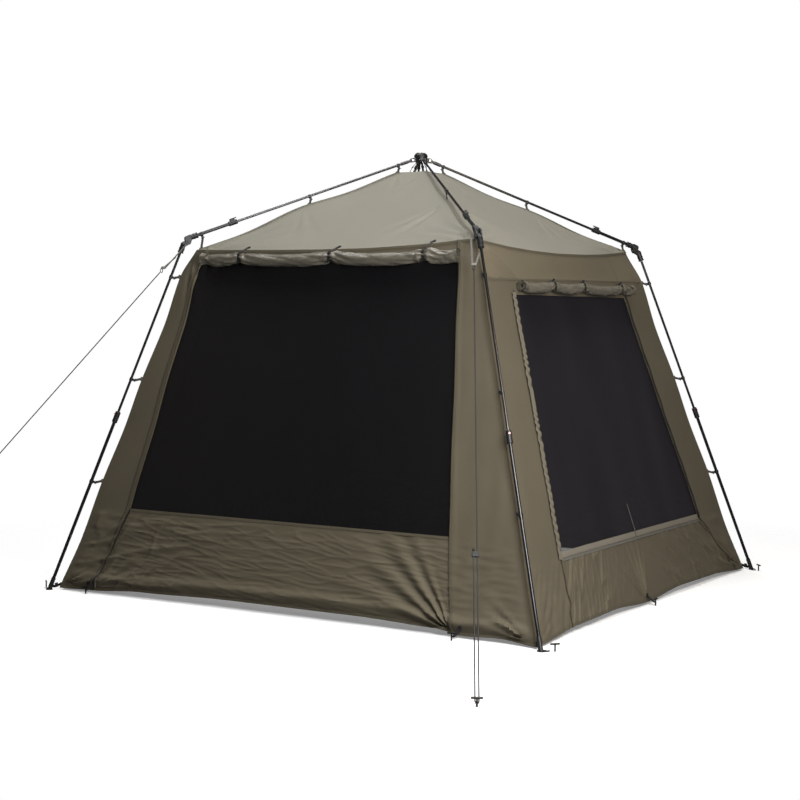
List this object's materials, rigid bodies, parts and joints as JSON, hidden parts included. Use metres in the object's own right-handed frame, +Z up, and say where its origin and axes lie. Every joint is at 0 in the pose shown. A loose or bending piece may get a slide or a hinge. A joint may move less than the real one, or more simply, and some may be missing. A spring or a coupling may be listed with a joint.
{
  "type": "screen house",
  "caption": "Quick-pitch screen house: outer folding pole frame with a hub, telescopic legs, sloping cloth walls, mesh door and window, rolled covers and guys.",
  "frame": {"origin": "on the ground, below the hub's axis", "axes": "+Z up, -Y out of the front wall with the wide mesh door, +X out of the wall with the mesh window"},
  "size_m": [3.1534, 3.5359, 2.17],
  "materials": {
    "hub_plastic": "satin moulded nylon",
    "pin_steel": "bright steel",
    "inner_tube": "satin black tube",
    "outer_tube": "satin black tube",
    "collar_plastic": "moulded nylon",
    "joint_plastic": "moulded nylon",
    "foot_plastic": "moulded nylon",
    "button_plastic": "red button",
    "roof_cloth": "coated polyester, olive grey",
    "wall_cloth": "coated polyester, olive brown",
    "cover_cloth": "coated polyester, olive brown",
    "roll_cloth": "coated polyester, slightly shiny",
    "insect_mesh": "fine black mesh",
    "webbing": "woven tape",
    "peg_steel": "dark steel",
    "guy_rope": "braided cord",
    "runner_plastic": "moulded nylon",
    "zip_tape": "woven zip tape",
    "bright_alloy": "bright alloy"
  },
  "bodies": {
    "hub": {"hub_body": "hub_plastic", "hub_cap": "hub_plastic", "hub_pins": "pin_steel", "roof": "roof_cloth", "front_wall": "wall_cloth", "back_wall": "wall_cloth", "right_wall": "wall_cloth", "left_wall": "wall_cloth", "mesh_panels": "insect_mesh", "closed_covers": "cover_cloth", "front_roll": "roll_cloth", "right_roll": "roll_cloth", "roll_ties": "webbing", "pole_straps": "webbing", "ground_pegs": "peg_steel", "guy_pegs": "peg_steel"},
    "right_runner": {"right_runner": "runner_plastic"},
    "left_runner": {"left_runner": "runner_plastic"},
    "rod_front_left": {"roof_rod_front_left": "inner_tube"},
    "roof_outer_front_left": {"roof_tube_front_left": "outer_tube", "roof_lock_front_left": "collar_plastic", "elbow_clevis_front_left": "joint_plastic"},
    "leg_front_left": {"elbow_knuckle_front_left": "joint_plastic", "leg_upper_front_left": "inner_tube", "left_guy": "guy_rope"},
    "shank_front_left": {"leg_lower_front_left": "outer_tube", "leg_lock_front_left": "collar_plastic", "foot_front_left": "foot_plastic"},
    "button_front_left": {"leg_button_front_left": "button_plastic"},
    "rod_front_right": {"roof_rod_front_right": "inner_tube"},
    "roof_outer_front_right": {"roof_tube_front_right": "outer_tube", "roof_lock_front_right": "collar_plastic", "elbow_clevis_front_right": "joint_plastic"},
    "leg_front_right": {"elbow_knuckle_front_right": "joint_plastic", "leg_upper_front_right": "inner_tube", "right_guy": "guy_rope"},
    "shank_front_right": {"leg_lower_front_right": "outer_tube", "leg_lock_front_right": "collar_plastic", "foot_front_right": "foot_plastic"},
    "button_front_right": {"leg_button_front_right": "button_plastic"},
    "rod_back_right": {"roof_rod_back_right": "inner_tube"},
    "roof_outer_back_right": {"roof_tube_back_right": "outer_tube", "roof_lock_back_right": "collar_plastic", "elbow_clevis_back_right": "joint_plastic"},
    "leg_back_right": {"elbow_knuckle_back_right": "joint_plastic", "leg_upper_back_right": "inner_tube"},
    "shank_back_right": {"leg_lower_back_right": "outer_tube", "leg_lock_back_right": "collar_plastic", "foot_back_right": "foot_plastic"},
    "button_back_right": {"leg_button_back_right": "button_plastic"},
    "rod_back_left": {"roof_rod_back_left": "inner_tube"},
    "roof_outer_back_left": {"roof_tube_back_left": "outer_tube", "roof_lock_back_left": "collar_plastic", "elbow_clevis_back_left": "joint_plastic"},
    "leg_back_left": {"elbow_knuckle_back_left": "joint_plastic", "leg_upper_back_left": "inner_tube"},
    "shank_back_left": {"leg_lower_back_left": "outer_tube", "leg_lock_back_left": "collar_plastic", "foot_back_left": "foot_plastic"},
    "button_back_left": {"leg_button_back_left": "button_plastic"}
  },
  "joints": [
    {"name": "roof_fold_front_left", "type": "hinge", "parent": "hub", "child": "rod_front_left", "pos_m": [-0.03061, -0.03299, 2.13353], "axis": [-0.733, 0.6802, 0], "range_deg": [0, 105], "deforming": ["roof", "front_wall", "back_wall", "right_wall", "left_wall", "mesh_panels", "closed_covers", "front_roll", "right_roll", "roll_ties", "pole_straps"]},
    {"name": "roof_slide_front_left", "type": "slide", "parent": "rod_front_left", "child": "roof_outer_front_left", "axis": [0.6388, 0.6883, 0.3438], "range_m": [0, 0.15]},
    {"name": "elbow_fold_front_left", "type": "hinge", "parent": "roof_outer_front_left", "child": "leg_front_left", "pos_m": [-0.80405, -0.86446, 1.69976], "axis": [0.7492, -0.6583, -0.074], "range_deg": [0, 126]},
    {"name": "leg_slide_front_left", "type": "slide", "parent": "leg_front_left", "child": "shank_front_left", "axis": [0.2844, 0.2188, 0.9334], "range_m": [0, 0.68]},
    {"name": "button_press_front_left", "type": "slide", "parent": "shank_front_left", "child": "button_front_left", "axis": [0.5982, 0.7203, -0.3511], "range_m": [0, 0.002], "stiffness_N_per_m": 600, "springref_m": -0.003},
    {"name": "roof_fold_front_right", "type": "hinge", "parent": "hub", "child": "rod_front_right", "pos_m": [0.03061, -0.03299, 2.13353], "axis": [-0.733, -0.6802, 0], "range_deg": [0, 105]},
    {"name": "roof_slide_front_right", "type": "slide", "parent": "rod_front_right", "child": "roof_outer_front_right", "axis": [-0.6388, 0.6883, 0.3438], "range_m": [0, 0.15]},
    {"name": "elbow_fold_front_right", "type": "hinge", "parent": "roof_outer_front_right", "child": "leg_front_right", "pos_m": [0.80405, -0.86446, 1.69976], "axis": [0.7492, 0.6583, 0.074], "range_deg": [0, 126]},
    {"name": "leg_slide_front_right", "type": "slide", "parent": "leg_front_right", "child": "shank_front_right", "axis": [-0.2844, 0.2188, 0.9334], "range_m": [0, 0.68]},
    {"name": "button_press_front_right", "type": "slide", "parent": "shank_front_right", "child": "button_front_right", "axis": [-0.5982, 0.7203, -0.3511], "range_m": [0, 0.002], "stiffness_N_per_m": 600, "springref_m": -0.003},
    {"name": "roof_fold_back_right", "type": "hinge", "parent": "hub", "child": "rod_back_right", "pos_m": [0.03061, 0.03299, 2.13353], "axis": [0.733, -0.6802, 0], "range_deg": [0, 105]},
    {"name": "roof_slide_back_right", "type": "slide", "parent": "rod_back_right", "child": "roof_outer_back_right", "axis": [-0.6388, -0.6883, 0.3438], "range_m": [0, 0.15]},
    {"name": "elbow_fold_back_right", "type": "hinge", "parent": "roof_outer_back_right", "child": "leg_back_right", "pos_m": [0.80405, 0.86446, 1.69976], "axis": [-0.7492, 0.6583, -0.074], "range_deg": [0, 126]},
    {"name": "leg_slide_back_right", "type": "slide", "parent": "leg_back_right", "child": "shank_back_right", "axis": [-0.2844, -0.2188, 0.9334], "range_m": [0, 0.68]},
    {"name": "button_press_back_right", "type": "slide", "parent": "shank_back_right", "child": "button_back_right", "axis": [-0.5982, -0.7203, -0.3511], "range_m": [0, 0.002], "stiffness_N_per_m": 600, "springref_m": -0.003},
    {"name": "roof_fold_back_left", "type": "hinge", "parent": "hub", "child": "rod_back_left", "pos_m": [-0.03061, 0.03299, 2.13353], "axis": [0.733, 0.6802, 0], "range_deg": [0, 105]},
    {"name": "roof_slide_back_left", "type": "slide", "parent": "rod_back_left", "child": "roof_outer_back_left", "axis": [0.6388, -0.6883, 0.3438], "range_m": [0, 0.15]},
    {"name": "elbow_fold_back_left", "type": "hinge", "parent": "roof_outer_back_left", "child": "leg_back_left", "pos_m": [-0.80405, 0.86446, 1.69976], "axis": [-0.7492, -0.6583, 0.074], "range_deg": [0, 126]},
    {"name": "leg_slide_back_left", "type": "slide", "parent": "leg_back_left", "child": "shank_back_left", "axis": [0.2844, -0.2188, 0.9334], "range_m": [0, 0.68]},
    {"name": "button_press_back_left", "type": "slide", "parent": "shank_back_left", "child": "button_back_left", "axis": [0.5982, -0.7203, -0.3511], "range_m": [0, 0.002], "stiffness_N_per_m": 600, "springref_m": -0.003},
    {"name": "right_runner_slide", "type": "slide", "parent": "leg_front_right", "child": "right_runner", "axis": [0.338, -0.5869, -0.7358], "range_m": [0, 0.35]},
    {"name": "left_runner_slide", "type": "slide", "parent": "leg_front_left", "child": "left_runner", "axis": [-0.338, -0.5869, -0.7358], "range_m": [0, 0.35]}
  ],
  "couplings": [
    {"joint": "elbow_fold_front_left", "follows": "roof_fold_front_left", "ratio": 1.2},
    {"joint": "roof_fold_front_right", "follows": "roof_fold_front_left", "ratio": 1},
    {"joint": "elbow_fold_front_right", "follows": "roof_fold_front_left", "ratio": 1.2},
    {"joint": "roof_fold_back_right", "follows": "roof_fold_front_left", "ratio": 1},
    {"joint": "elbow_fold_back_right", "follows": "roof_fold_front_left", "ratio": 1.2},
    {"joint": "roof_fold_back_left", "follows": "roof_fold_front_left", "ratio": 1},
    {"joint": "elbow_fold_back_left", "follows": "roof_fold_front_left", "ratio": 1.2}
  ]
}
